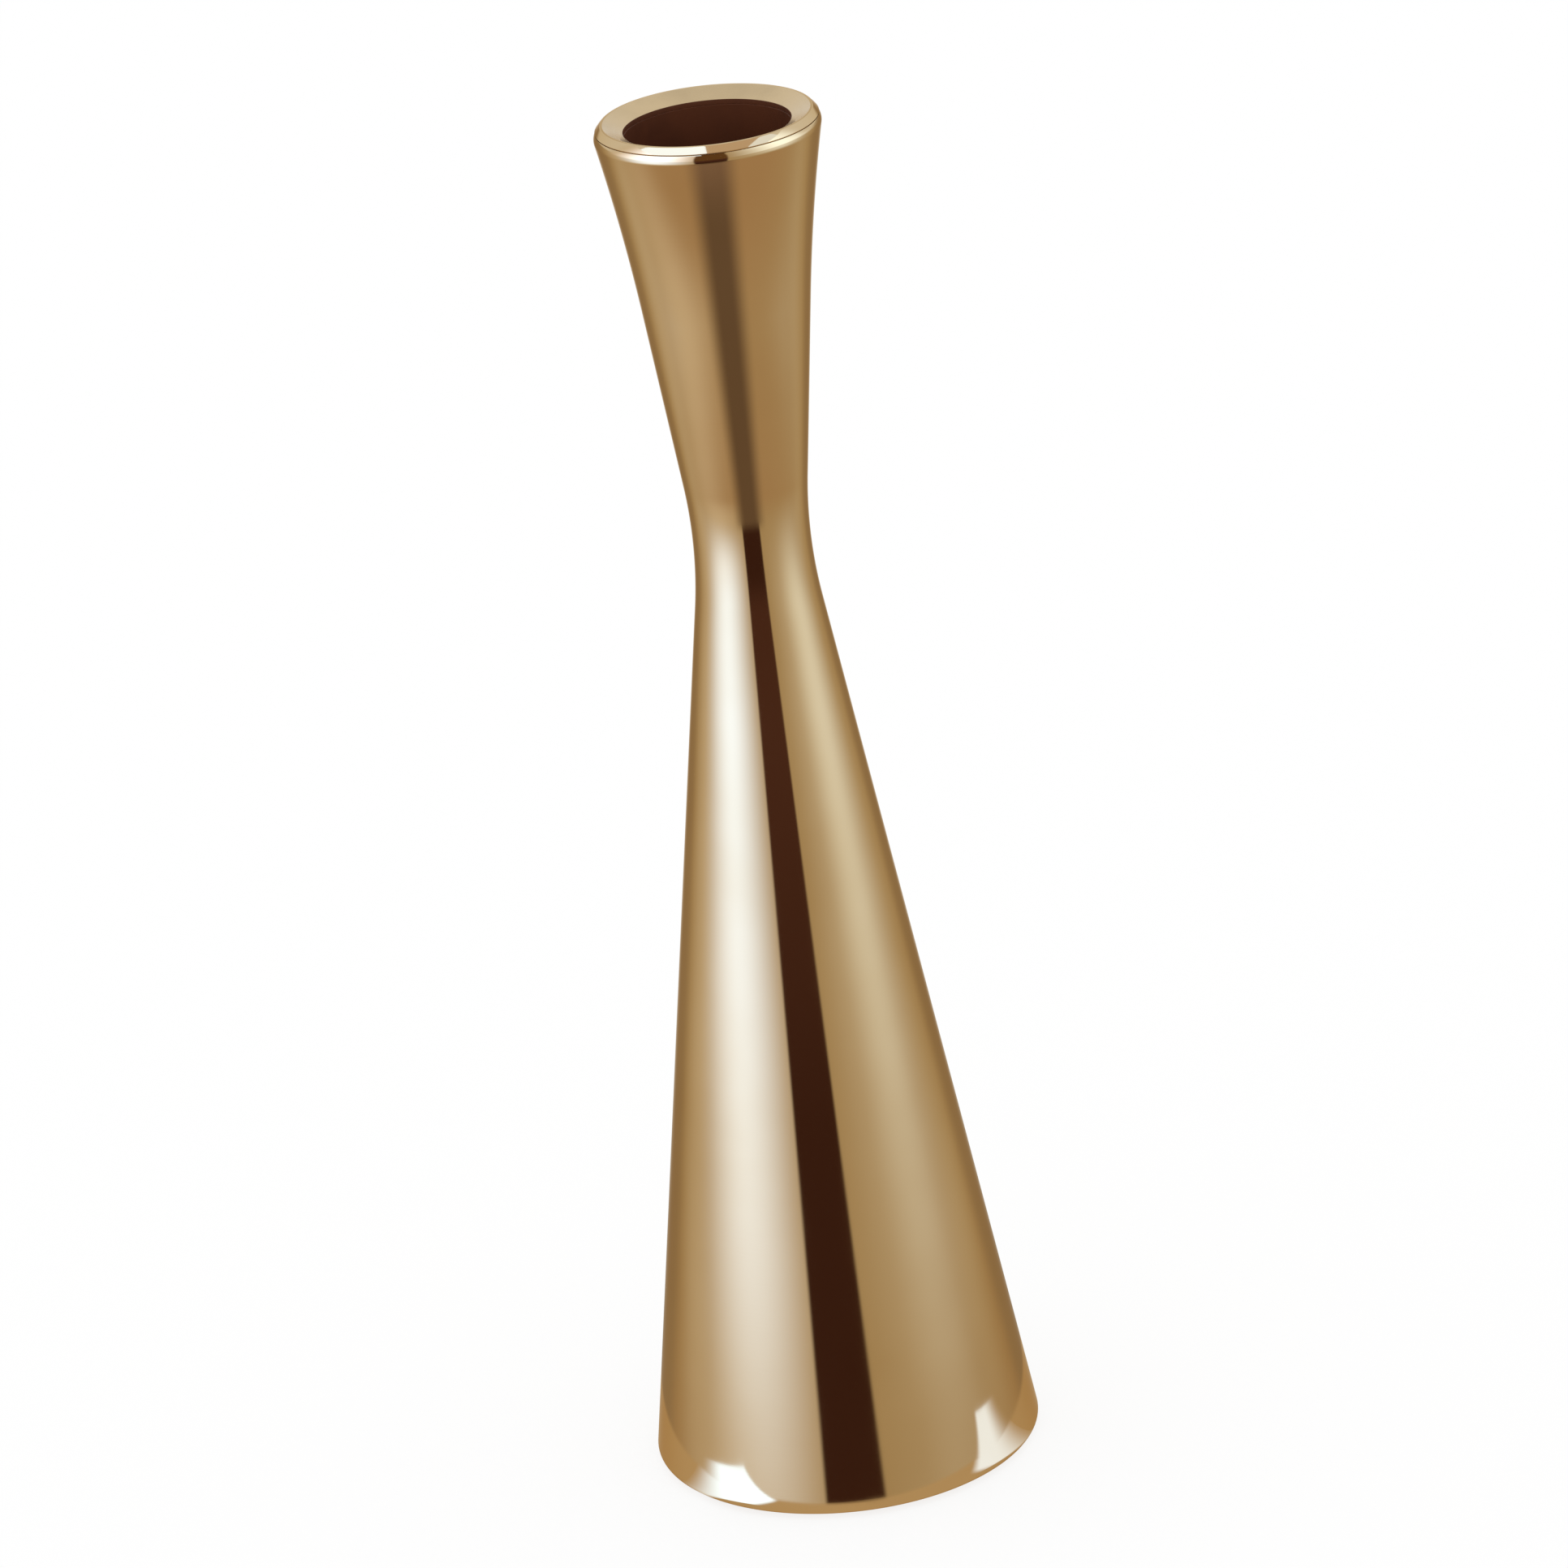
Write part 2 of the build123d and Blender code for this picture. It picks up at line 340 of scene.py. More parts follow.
# as spun or turned: rings of tool marks, no lacquer
toolMarked = {
    "dull": 0.8,
    "otherFrom": (0.4, 0.75),
    "cloud": (60.0, 4.0),
    "marks": (1.0, 2.0, (90, 90, 3600)),
    "roughBy": "marks",
    "roughSpread": 0.14,
    "bump": (0.3, 0.00001),
    "even": {"Metallic": 1.0},
}


def satinBrass(name, colour, roughness):
    dull = tuple(c * toolMarked["dull"] for c in colour)
    return mottled(name, dict(toolMarked, colour=colour, other=dull, roughness=roughness))


# the dark brown is painted shade: it stands for the shade down the candle socket and in the ring's bore; the worn
# patches and orange peel are marks of the coat
socketShadeLook = {
    "colour": (0.118, 0.035, 0.014),
    "other": (0.088, 0.026, 0.011),  # worn
    "otherFrom": (0.35, 0.7),
    "cloud": (140.0, 4.0),
    "marks": (2600.0, 2.0),  # orange peel
    "roughness": 0.46,
    "roughBy": "cloud",
    "roughSpread": 0.15,
    "bump": (0.25, 0.00002),
    "even": {"Specular IOR Level": 0.22},
}
zinc = {
    "colour": (0.60, 0.615, 0.63),
    "other": (0.63, 0.60, 0.52),  # warmer
    "otherFrom": (0.45, 0.8),
    "cloud": (220.0, 3.0),
    "marks": (900.0, 3.0),  # flakes
    "roughness": 0.24,
    "roughBy": "marks",
    "roughSpread": 0.18,
    "bump": (0.2, 0.00002),
    "even": {"Metallic": 1.0},
}
iron = {
    "colour": (0.115, 0.112, 0.112),
    "other": (0.15, 0.095, 0.065),  # rust
    "otherFrom": (0.52, 0.8),
    "cloud": (130.0, 5.0),
    "marks": (1500.0, 4.0),  # sand
    "roughness": 0.62,
    "roughBy": "marks",
    "roughSpread": 0.25,
    "bump": (0.6, 0.00015),
    "even": {"Metallic": 0.55},
}
felt = {
    "colour": (0.050, 0.040, 0.036),
    "lint": (0.095, 0.080, 0.072),
    "lintFrom": (0.45, 0.75),
    "strands": (2100.0, 5.0),
    "patches": (320.0, 3.0),
    "patchLint": (0.3, 0.7, 0.4, 1.0),
    "roughness": (0.2, 0.8, 0.86, 1.0),
    "bump": (0.8, 0.00025),
    "even": {"Sheen Weight": 0.35, "Sheen Roughness": 0.5, "Specular IOR Level": 0.2},
}


def woolFelt():
    material, tree, shader, coords = newMaterial("woolFelt")
    strands, patches = grain(tree, coords, *felt["strands"]), grain(tree, coords, *felt["patches"])
    speck = calc(tree, "MULTIPLY", ramp(tree, strands, *felt["lintFrom"]), ramp(tree, patches, *felt["patchLint"]))
    tree.links.new(blendColours(tree, speck, felt["colour"], felt["lint"]), shader.inputs["Base Color"])
    setBump(tree, shader, strands, *felt["bump"])
    tree.links.new(ramp(tree, strands, *felt["roughness"]), shader.inputs["Roughness"])
    setEven(shader, felt["even"])
    return material


polished = polishedBrass()
satin = satinBrass("satinBrass", brass["colour"], 0.16)
spun = satinBrass("spunBrassInside", (0.62, 0.45, 0.235), 0.30)
turned = satinBrass("turnedBrass", (0.66, 0.49, 0.255), 0.22)
# painted shade for the dark socket, given as a dark enamel
darkSocketShade = mottled("darkEnamelPaintedShade", socketShadeLook)
plated = mottled("zincPlatedSteel", zinc)
cast = mottled("castIron", iron)
wool = woolFelt()
print("finishes ready")


# lower shell: foot edge rolled in under the base plate
foot = {
    "edgeRound": 1.0,
    "edgeSteps": 26,
    "hemOpening": 23.6,
    "hemRound": 0.3,
    "hemSteps": 6,
    "wallSteps": 150,
    "insideSteps": 60,
}


def lowerShell():
    hemTop, bend = footBottom + stem["wall"], foot["edgeRound"]
    edge = (wallRadius(footBottom + bend, bend), footBottom + bend)
    edgeTop = edge[1] + bend * math.sin(-lowerAngle)
    hem = (foot["hemOpening"] + foot["hemRound"], footBottom + foot["hemRound"])
    outside = arc(hem, foot["hemRound"], 180, 270, foot["hemSteps"])
    outside += arc(edge, bend, -90, -math.degrees(lowerAngle), foot["edgeSteps"])
    outside += wallRun(edgeTop, waistHeight, 0, foot["wallSteps"])
    inside = wallRun(waistHeight, hemTop, stem["wall"], foot["insideSteps"])
    inside += [(foot["hemOpening"], hemTop)]
    return turnedMesh("lowerShell", [outside, inside])


# upper shell: flared rim that turns over in a bead, and a stepped seat for the ring inside it
rim = {
    "beadRadius": 1.6,
    "beadBelowTop": 1.95,
    "beadSteps": 30,
    "jointAngle": 34,
    "lipEase": 0.06,
    "lipBelowTop": 1.17,
    "seatRadius": 14.4,
    "mouthRadius": 12.3,
    "wallSteps": 130,
    "insideSteps": 50,
}


def upperShell():
    seatTop = low("rim_ring")
    seatBottom = seatTop - stem["wall"]
    lipTop = topFace - rim["lipBelowTop"]
    seat, mouth, ease, bead = rim["seatRadius"], rim["mouthRadius"], rim["lipEase"], rim["beadRadius"]
    beadHeight = topFace - rim["beadBelowTop"]
    middle = (wallRadius(beadHeight, bead), beadHeight)
    lean = math.asin((beadHeight - flareCentre[1]) / (flareArc + bead))
    outside = wallRun(waistHeight, beadHeight - bead * math.sin(lean), 0, rim["wallSteps"])
    outside += arc(middle, bead, -math.degrees(lean), rim["jointAngle"], rim["beadSteps"])
    outside += [(outside[-1][0] - ease, lipTop)]
    inside = [(seat + ease, lipTop), (seat, lipTop - ease), (seat, seatTop), (mouth, seatTop), (mouth, seatBottom)]
    inside += wallRun(seatBottom, waistHeight, stem["wall"], rim["insideSteps"])
    return turnedMesh("upperShell", [outside, inside])


# rim ring: dished round the hole, a narrow crest, then a sloping edge that covers the shell's lip
ring = {
    "holeRadius": 11.22,
    "holeBelowTop": 1.3,
    "holeEase": 0.06,
    "holeBreak": [(0.25, 0.4), (0, 1.4)],  # outwards and down, in eases
    "dishSteps": 12,
    "crestRadius": 14.02,
    "crestRound": 0.35,
    "crestSteps": 20,
    "slopeAngles": (46, 37),  # at the crest and at the edge
    "slopeSteps": 12,
    "edgeRadius": 14.95,
    "edgeEase": 0.05,
    "underBelowTop": 1.0,
    "flangeDepth": 0.6,
    "pocketRadius": 13.45,
}


def rimRing():
    outer, bottom = wide("rim_ring"), low("rim_ring")
    hole, ease = ring["holeRadius"], ring["holeEase"]
    crest = (ring["crestRadius"], topFace - ring["crestRound"])
    atCrest, atEdge = ring["slopeAngles"]
    slopeTop = onCircle(crest, ring["crestRound"], atCrest)
    swing = math.cos(math.radians(atEdge)) - math.cos(math.radians(atCrest))
    slopeRadius = (ring["edgeRadius"] - slopeTop[0]) / swing
    slopeCentre = onCircle(slopeTop, -slopeRadius, atCrest)
    under = topFace - ring["underBelowTop"]
    pocketTop = bottom + ring["flangeDepth"]
    holeEdge = (hole + ease, topFace - ring["holeBelowTop"])
    dish = math.degrees(math.atan2(topFace - holeEdge[1], crest[0] - holeEdge[0]))
    outside = [(outer, bottom), (outer, under), (ring["edgeRadius"] - ring["edgeEase"], under)]
    outside += arc(slopeCentre, slopeRadius, atEdge, atCrest, ring["slopeSteps"])
    outside += arc(crest, ring["crestRound"], atCrest, 90 + dish, ring["crestSteps"])
    inside = straight(outside[-1], holeEdge, ring["dishSteps"])
    # the land inside the hole takes the dark enamel (third material): painted shade at the hole's edge
    land = [(hole + ease * out, holeEdge[1] - ease * down) for out, down in ring["holeBreak"]]
    land += [(hole, pocketTop)]
    beneath = [(ring["pocketRadius"], pocketTop), (ring["pocketRadius"], bottom)]
    return turnedMesh("rimRing", [outside, inside, land, beneath])


# candle cup: straight where the candle is gripped, then narrowing with the shell
cup = {
    "bore": 11.2,
    "wall": 0.6,
    "clear": 0.5,
    "floorRound": 2.0,
    "floorSteps": 18,
    "taperSteps": 16,
    "gripAbove": 0.2,  # the straight part starts this far above the taper
    "lipEase": 0.12,
    "flangeRadius": 13.4,
    "flangeThick": 0.6,
}


def cupWall(inset, radius, bottom, bend, top):
    # up one side of the cup's wall from its floor, with the floor's corner rounded
    corner = (wallRadius(bottom + bend, inset + bend), bottom + bend)
    lean = math.asin((corner[1] - flareCentre[1]) / (flareArc + inset + bend))
    points = arc(corner, bend, -90, -math.degrees(lean), cup["floorSteps"])
    taperEnd = flareCentre[1] + math.sqrt((flareArc + inset) ** 2 - (flareCentre[0] - radius) ** 2)
    points += wallRun(points[-1][1], taperEnd, inset, cup["taperSteps"])
    return points + [(radius, taperEnd + cup["gripAbove"]), (radius, top)]


def candleCup():
    bottom, top = low("candle_cup"), high("candle_cup")
    bore, wall, bend, ease = cup["bore"], cup["wall"], cup["floorRound"], cup["lipEase"]
    inset, under = stem["wall"] + cup["clear"], top - cup["flangeThick"]
    outside = cupWall(inset, bore + wall, bottom, bend + wall, under)
    inside = cupWall(inset + wall, bore, bottom + wall, bend, top - ease)
    flange = [(cup["flangeRadius"], under), (cup["flangeRadius"], top), (bore + ease, top)]
    section = [(0, bottom)] + outside + flange + inside[::-1] + [(0, bottom + wall)]
    return turnedMesh("candleCup", [section])


addPiece("lowerShell", lowerShell(), [polished, spun], "holder", ["lower_shell"])
addPiece("upperShell", upperShell(), [polished, spun], "holder", ["upper_shell"])
# the ring's bore land and the whole cup take the dark enamel: painted shade for the dark socket
addPiece("rimRing", rimRing(), [polished, satin, darkSocketShade, spun], "candle_insert", ["rim_ring"])
addPiece("candleCup", candleCup(), darkSocketShade, "candle_insert", ["candle_cup"])
print("stem, ring and cup turned")


def unitNoise(at):
    return 0.5 + 0.5 * noise.noise(at)


# felt pad: a pressed disc with an uneven face, drawn in a little round its edge
pad = {
    "rows": 40,
    "around": 150,
    "sharp": 180,
    "edgeRound": 0.35,
    "edgeSteps": 5,
    "dip": 0.05,
    "dipScale": 1.3,
    "drawnIn": 0.5,  # share of the dip
}


def feltDisc():
    bottom, top, radius = low("felt_pad"), high("felt_pad"), wide("felt_pad")
    bend = pad["edgeRound"]
    flat = [radius * i / pad["rows"] for i in range(pad["rows"])]
    flat = [r for r in flat if r < radius - bend]
    section = [(r, bottom) for r in flat]
    section += arc((radius - bend, bottom + bend), bend, -90, 0, pad["edgeSteps"])
    section += arc((radius - bend, top - bend), bend, 0, 90, pad["edgeSteps"])
    section += [(r, top) for r in reversed(flat)]
    mesh = turnedMesh("feltPad", [section], around=pad["around"], sharp=pad["sharp"])
    for v in mesh.vertices:
        dip = pad["dip"] * mm * unitNoise(v.co / mm * pad["dipScale"])
        nearEdge = v.co.to_2d().length > (radius - 2 * bend) * mm
        v.co.z += dip if v.co.z < (bottom + top) / 2 * mm else -dip
        if nearEdge:
            shrink = 1 - pad["drawnIn"] * dip / (radius * mm)
            v.co.x *= shrink
            v.co.y *= shrink
    return mesh


# loose fibres round the pad's edge, each a thin three-sided spike
fibre = {
    "count": 900,
    "seed": 7,
    "root": 0.12,  # inside the pad's edge
    "lowest": 0.15,
    "aside": (-0.5, 0.5),
    "rise": (-0.1, 0.25),
    "length": (0.12, 0.34),
    "thick": (0.012, 0.02),
    "curl": 0.25,
    "taper": 0.7,
    "joints": 4,
    "corners": (0.5, 2.6, 4.7),
}


def feltFuzz():
    bottom, top, radius = low("felt_pad"), high("felt_pad"), wide("felt_pad")
    pick = random.Random(fibre["seed"])
    sides = len(fibre["corners"])
    bm = bmesh.new()
    for _ in range(fibre["count"]):
        turn = pick.uniform(0, fullTurn)
        z = pick.uniform(bottom + fibre["lowest"], (bottom + top) / 2)
        out = Vector((math.cos(turn), math.sin(turn), 0))
        side = Vector((-out.y, out.x, 0))
        start = out * (radius - fibre["root"]) + Vector((0, 0, z))
        lean = side * pick.uniform(*fibre["aside"]) + Vector((0, 0, pick.uniform(*fibre["rise"])))
        length, thick = pick.uniform(*fibre["length"]), pick.uniform(*fibre["thick"])
        loops = []
        for k in range(fibre["joints"]):
            s = k / (fibre["joints"] - 1)
            at = start + out * length * (s - fibre["curl"] * s * s) + lean * length * s * s
            at.z = max(at.z, bottom + thick)
            w = thick * (1 - fibre["taper"] * s)
            spokes = [side * w * math.cos(a) + Vector((0, 0, w * math.sin(a))) for a in fibre["corners"]]
            loops.append([bm.verts.new((at + spoke) * mm) for spoke in spokes])
        for a, b in zip(loops, loops[1:]):
            for j in range(sides):
                k = (j + 1) % sides
                bm.faces.new((a[j], a[k], b[k], b[j]))
        bm.faces.new(loops[0][::-1])
        bm.faces.new(loops[-1])
    return finishedMesh("feltFuzz", bm)


feltPad = addPiece("feltPad", feltDisc(), wool, "holder", ["felt_pad"])
fuzz = addPiece("feltFuzz", feltFuzz(), wool, "holder")
print("felt laid")

# tie rod and nuts: one 6 mm thread runs through all of them, so crests lie in grooves
thread = {
    "pitch": 1.0,
    "depth": 0.55,
    "flankTop": 1.35,  # over 1, so the groove's floor is flat
    "flankSlope": 2.9,
    "clear": 0.05,
    "stepsPerPitch": 10,
    "runOut": 1.6,
    "past": 3.5,
    "endChamfer": 0.6,
    "around": 48,
}
rodRadius = wide("tie_rod")


def clamped(value):
    return min(1.0, max(0.0, value))


def groove(z, turn):
    # depth of the thread below its crest: flat crests, straight flanks
    phase = (z / thread["pitch"] - turn / fullTurn) % 1.0
    return thread["depth"] * clamped(thread["flankTop"] - thread["flankSlope"] * abs(phase - 0.5))


def threadRows(fromZ, toZ, radius):
    steps = max(1, round((toZ - fromZ) / thread["pitch"] * thread["stepsPerPitch"]))
    return straight((radius, fromZ), (radius, toZ), steps)


def tieRod():
    bottom, top, cut = low("tie_rod"), high("tie_rod"), thread["endChamfer"]
    lowEnd, highEnd = high("bottom_washer") + thread["past"], low("top_washer") - thread["past"]

    def threaded(r, z, turn):
        if r < rodRadius:
            return r
        return r - groove(z, turn) * clamped(max(lowEnd - z, z - highEnd) / thread["runOut"])

    section = [(0, bottom), (rodRadius - cut, bottom)]
    section += threadRows(bottom + cut, lowEnd, rodRadius) + threadRows(highEnd, top - cut, rodRadius)
    section += [(rodRadius - cut, top), (0, top)]
    return turnedMesh("tieRod", [section], around=thread["around"], shape=threaded)


nut = {
    "acrossFlats": 10.0,
    "flatTurn": 60,
    "cornerChamfer": 0.6,
    "holeEase": 0.35,
    "tolerance": 0.001,
    "around": 96,
    "sharp": 25,
}


def hexNut(name, node):
    bottom, top = low(node), high(node)
    flat, cut, ease = nut["acrossFlats"] / 2, nut["cornerChamfer"], nut["holeEase"]
    flatTurn = math.radians(nut["flatTurn"])
    corner = flat / math.cos(flatTurn / 2)
    hole = rodRadius + thread["clear"]

    def hexagon(r, z, turn):
        if r <= hole:
            return r - groove(z, turn)
        if r < corner - cut - nut["tolerance"]:
            return r
        return min(r, flat / math.cos(turn % flatTurn - flatTurn / 2))

    outside = [(corner - cut, bottom), (corner, bottom + cut), (corner, top - cut), (corner - cut, top)]
    bore = threadRows(bottom + ease, top - ease, hole)[::-1]
    section = outside + [(hole + ease, top)] + bore + [(hole + ease, bottom)]
    return turnedMesh(name, [section], around=nut["around"], sharp=nut["sharp"], shape=hexagon)


hardware = {
    "rodHole": 3.2,
    "around": 96,
    "sharp": 40,
    "washerEase": 0.18,
    "springEase": 0.15,
    "springSteps": 84,
    "slit": 1.0,
    "slitAngle": 20.0,
}


def washer(name, node):
    hole, outer, bottom, top = hardware["rodHole"], wide(node), low(node), high(node)
    section = eased([(hole, bottom), (outer, bottom), (outer, top), (hole, top)], hardware["washerEase"])
    return turnedMesh(name, [section], around=hardware["around"], sharp=hardware["sharp"])


def springWasher(name, node):
    # cut through on the +X side by a leaning slit, so its radius is taken from the other sides
    hole, bottom, top = hardware["rodHole"], low(node), high(node)
    outer = max(abs(v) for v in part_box(node)[0].to_2d()) / mm
    section = eased([(hole, bottom), (outer, bottom), (outer, top), (hole, top)], hardware["springEase"])
    slitAngle, steps = math.radians(hardware["slitAngle"]), hardware["springSteps"]
    half = hardware["slit"] / 2 / math.cos(slitAngle)
    bm = bmesh.new()
    loops = []
    for j in range(steps + 1):
        loop = []
        for r, z in section:
            shift = -(z - (bottom + top) / 2) * math.tan(slitAngle)
            start, end = math.asin((half + shift) / r), fullTurn - math.asin((half - shift) / r)
            t = start + (end - start) * j / steps
            loop.append(bm.verts.new((r * mm * math.cos(t), r * mm * math.sin(t), z * mm)))
        loops.append(loop)
    for a, b in zip(loops, loops[1:]):
        for i in range(len(section)):
            k = (i + 1) % len(section)
            bm.faces.new((a[i], b[i], b[k], a[k])).smooth = True
    bm.faces.new(loops[0])
    bm.faces.new(loops[-1][::-1])
    return finishedMesh(name, bm, hardware["sharp"])


# wedges in the two cones, the sleeve at the waist and the plate in the foot
inner = {
    "seat": 1.1,
    "around": 96,
    "wideAround": 128,  # the ballast and the plate
    "sharp": 40,
    "coneChamfer": 0.5,
    "coneEase": 0.2,
    "coneSteps": 10,
    "sleeveChamfer": 0.8,
    "sleeveEase": 0.25,
    "pocketRadius": 8.5,
    "ballastChamfer": 2.0,
    "ballastEase": 0.7,
    "ballastSteps": 60,
    "castDip": 0.09,
    "castScales": (0.9, 2.3),
    "castFine": (0.6, 0.4),
    "castBeyond": 0.5,  # the pocket's rounded edge stays true
    "plateEase": 0.35,
    "plateEaseSteps": 5,
}


def clampCone():
    hole, bottom, top, cut = hardware["rodHole"], low("clamp_cone"), high("clamp_cone"), inner["coneChamfer"]
    section = [(hole, bottom)] + wallRun(bottom, top - cut, inner["seat"], inner["coneSteps"])
    section += [(wallRadius(top, inner["seat"]) - cut, top), (hole, top)]
    section = eased(section, inner["coneEase"])
    return turnedMesh("clampCone", [section], around=inner["around"], sharp=inner["sharp"])


def waistSleeve():
    hole, bottom, top = hardware["rodHole"], low("waist_sleeve"), high("waist_sleeve")
    outer, cut = wide("waist_sleeve"), inner["sleeveChamfer"]
    section = [(hole, bottom), (outer - cut, bottom), (outer, bottom + cut)]
    section += [(outer, top - cut), (outer - cut, top), (hole, top)]
    section = eased(section, inner["sleeveEase"])
    return turnedMesh("waistSleeve", [section], around=inner["around"], sharp=inner["sharp"])


def ballastWeight():
    hole, pocket, cut = hardware["rodHole"], inner["pocketRadius"], inner["ballastChamfer"]
    bottom, top, pocketTop = low("ballast_weight"), high("ballast_weight"), high("bottom_washer")

    def sandCast(r, z, turn):
        if r < pocket + inner["castBeyond"]:
            return r
        at = Vector((r * math.cos(turn), r * math.sin(turn), z))
        broad, fine = inner["castScales"]
        level, swing = inner["castFine"]
        return r - inner["castDip"] * unitNoise(at * broad) * (level + swing * noise.noise(at * fine))

    section = [(pocket, bottom)] + wallRun(bottom, top - cut, inner["seat"], inner["ballastSteps"])
    section += [(wallRadius(top, inner["seat"]) - cut, top), (hole, top), (hole, pocketTop), (pocket, pocketTop)]
    section = eased(section, inner["ballastEase"])
    return turnedMesh("ballastWeight", [section], around=inner["wideAround"], sharp=inner["sharp"], shape=sandCast)


def basePlate():
    bottom, top = low("base_plate"), high("base_plate")
    section = [(0, bottom)] + wallRun(bottom, top, inner["seat"], 1) + [(0, top)]
    section = eased(section, inner["plateEase"], inner["plateEaseSteps"])
    return turnedMesh("basePlate", [section], around=inner["wideAround"], sharp=inner["sharp"])


addPiece("tieRod", tieRod(), plated, "holder", ["tie_rod"])
for name, build, node in (
    ("topNut", hexNut, "top_nut"),
    ("topWasher", washer, "top_washer"),
    ("bottomNut", hexNut, "bottom_nut"),
    ("bottomWasher", washer, "bottom_washer"),
    ("springWasher", springWasher, "bottom_lock_washer"),
):
    addPiece(name, build(name, node), plated, "holder", [node])
addPiece("clampCone", clampCone(), turned, "holder", ["clamp_cone"])
addPiece("waistSleeve", waistSleeve(), turned, "holder", ["waist_sleeve"])
addPiece("ballastWeight", ballastWeight(), cast, "holder", ["ballast_weight"])
addPiece("basePlate", basePlate(), plated, "holder", ["base_plate"])
print("inner pieces made")


# camera: placed by the photograph's outline, rolled because the stem leans in the picture
view = {
    "elevation": 21.226,
    "distance": 1.0638,
    "target": (0.00073, 0.0, 0.0987),
    "sensor": 36.0,
    "focalPixels": 9588,
    "imagePixels": 1932,
    "roll": -6.184,
}


def addCamera():
    data = bpy.data.cameras.new("camera")
    camera = bpy.data.objects.new("camera", data)
    scene.collection.objects.link(camera)
    data.sensor_width = view["sensor"]
    data.lens = data.sensor_width * view["focalPixels"] / view["imagePixels"]
    up = math.radians(view["elevation"])
    away = Vector((0, -math.cos(up), math.sin(up))) * view["distance"]
    turn = Matrix.Rotation(math.pi / 2 - up, 4, "X") @ Matrix.Rotation(math.radians(view["roll"]), 4, "Z")
    camera.matrix_world = Matrix.Translation(Vector(view["target"]) + away) @ turn
    scene.camera = camera


addCamera()


# stage: white world, pale floor, and the boards that the brass mirrors
def stageMesh(name, bm, material):
    mesh = bpy.data.meshes.new(name)
    bm.to_mesh(mesh)
    bm.free()
    piece = bpy.data.objects.new(name, mesh)
    scene.collection.objects.link(piece)
    mesh.materials.append(material)
    return piece


def mirroredOnly(piece):
    # boards stand close round the object, so only its reflections see them
    piece.visible_camera = False
    piece.visible_diffuse = False
    piece.visible_transmission = False
    piece.visible_shadow = False


def bareMaterial(name):
    material = bpy.data.materials.new(name)
    material.use_nodes = True
    material.cycles.emission_sampling = "NONE"
    tree = material.node_tree
    tree.nodes.remove(tree.nodes["Principled BSDF"])
    return material, tree


def setSurface(tree, shader):
    tree.links.new(shader, tree.nodes["Material Output"].inputs["Surface"])


def glow(tree, colour):
    return addNode(tree, "ShaderNodeEmission", {"Color": colour}).outputs[0]


def clear(tree):
    return addNode(tree, "ShaderNodeBsdfTransparent").outputs[0]


def mixShaders(tree, share, a, b):
    return addNode(tree, "ShaderNodeMixShader", {0: share, 1: a, 2: b}).outputs[0]


def turnAndHeight(tree):
    # degrees round the object from its front, and metres up
    place = addNode(tree, "ShaderNodeTexCoord").outputs["Object"]
    x, y, z = addNode(tree, "ShaderNodeSeparateXYZ", {0: place}).outputs
    return calc(tree, "DEGREES", calc(tree, "ARCTAN2", x, calc(tree, "MULTIPLY", y, -1.0))), z


def openDrum(bm, radius, bottom, top, around=96):
    turns = [fullTurn * j / around for j in range(around)]
    circle = [(radius * math.cos(t), radius * math.sin(t)) for t in turns]
    lower, upper = ([bm.verts.new((x, y, z)) for x, y in circle] for z in (bottom, top))
    for j in range(around):
        k = (j + 1) % around
        bm.faces.new((lower[j], lower[k], upper[k], upper[j]))


# edges are degrees to both sides of the front, tops and lows are metres up
room = {
    "radius": 0.60,
    "bottom": -0.95,
    "top": 0.80,
    "colour": (0.46, 0.36, 0.22),
    "lowColour": (0.43, 0.295, 0.17),
    "lowColourTop": (-0.26, -0.12),
    "flagColour": (0.37, 0.29, 0.195),
    "flagEdges": (122.0, 142.0),
    "backColour": (0.76, 0.755, 0.735),
    "backEdges": (98.0, 122.0),
    "backLow": (0.22, 0.29),
    "gapColour": (0.078, 0.032, 0.022),
    "gapFootColour": (0.047, 0.018, 0.012),
    "gapFootTop": (-0.03, 0.075),
    "gapEdges": (15.3, 18.3),
    "highGapColour": (0.13, 0.065, 0.025),
    "highGapLow": (0.13, 0.20),
    "lowGapColour": (0.15, 0.10, 0.065),
    "lowGapEdges": (8.0, 34.0),
    "lowGapTop": (-0.165, -0.125),
    "lowGapFloor": (-0.315, -0.245),
    "lowGapFloorColour": (0.25, 0.165, 0.12),
}
# each board is brightest at one angle round the object and fades out to both sides;
# its heights are shares of the light that come in between two levels
boards = [
    {"at": -62, "half": 64, "light": (0.42, 0.46, 0.49), "heights": [(0.5, -0.25, -0.16), (0.5, -0.15, -0.03)]},
    {"at": -60, "half": 52, "light": (0.38, 0.80, 1.72), "heights": [(0.7, -0.165, -0.03), (0.3, -0.06, 0.05)]},
    {"at": 80, "half": 41, "light": (0.25, 0.36, 0.50), "heights": [(1.0, -0.195, 0.06)]},
    {"at": 65, "half": 52, "light": (0.20, 0.26, 0.31), "heights": [(1.0, -0.195, 0.06)]},
    {"at": 180, "half": 26, "light": (0.45, 0.47, 0.48), "heights": [(1.0, -0.30, -0.10)]},
    {"at": -112, "half": 24, "light": (0.085, 0.10, 0.115), "heights": [(1.0, -0.20, -0.12)]},
    {"at": 112, "half": 24, "light": (0.05, 0.06, 0.065), "heights": [(1.0, -0.20, -0.12)]},
    {"at": -60, "half": 66, "light": (0.70, 0.76, 1.07), "heights": [(1.0, 0.12, 0.22)]},
    {"at": 82, "half": 75, "light": (0.52, 0.72, 0.98), "heights": [(1.0, 0.12, 0.22)]},
]


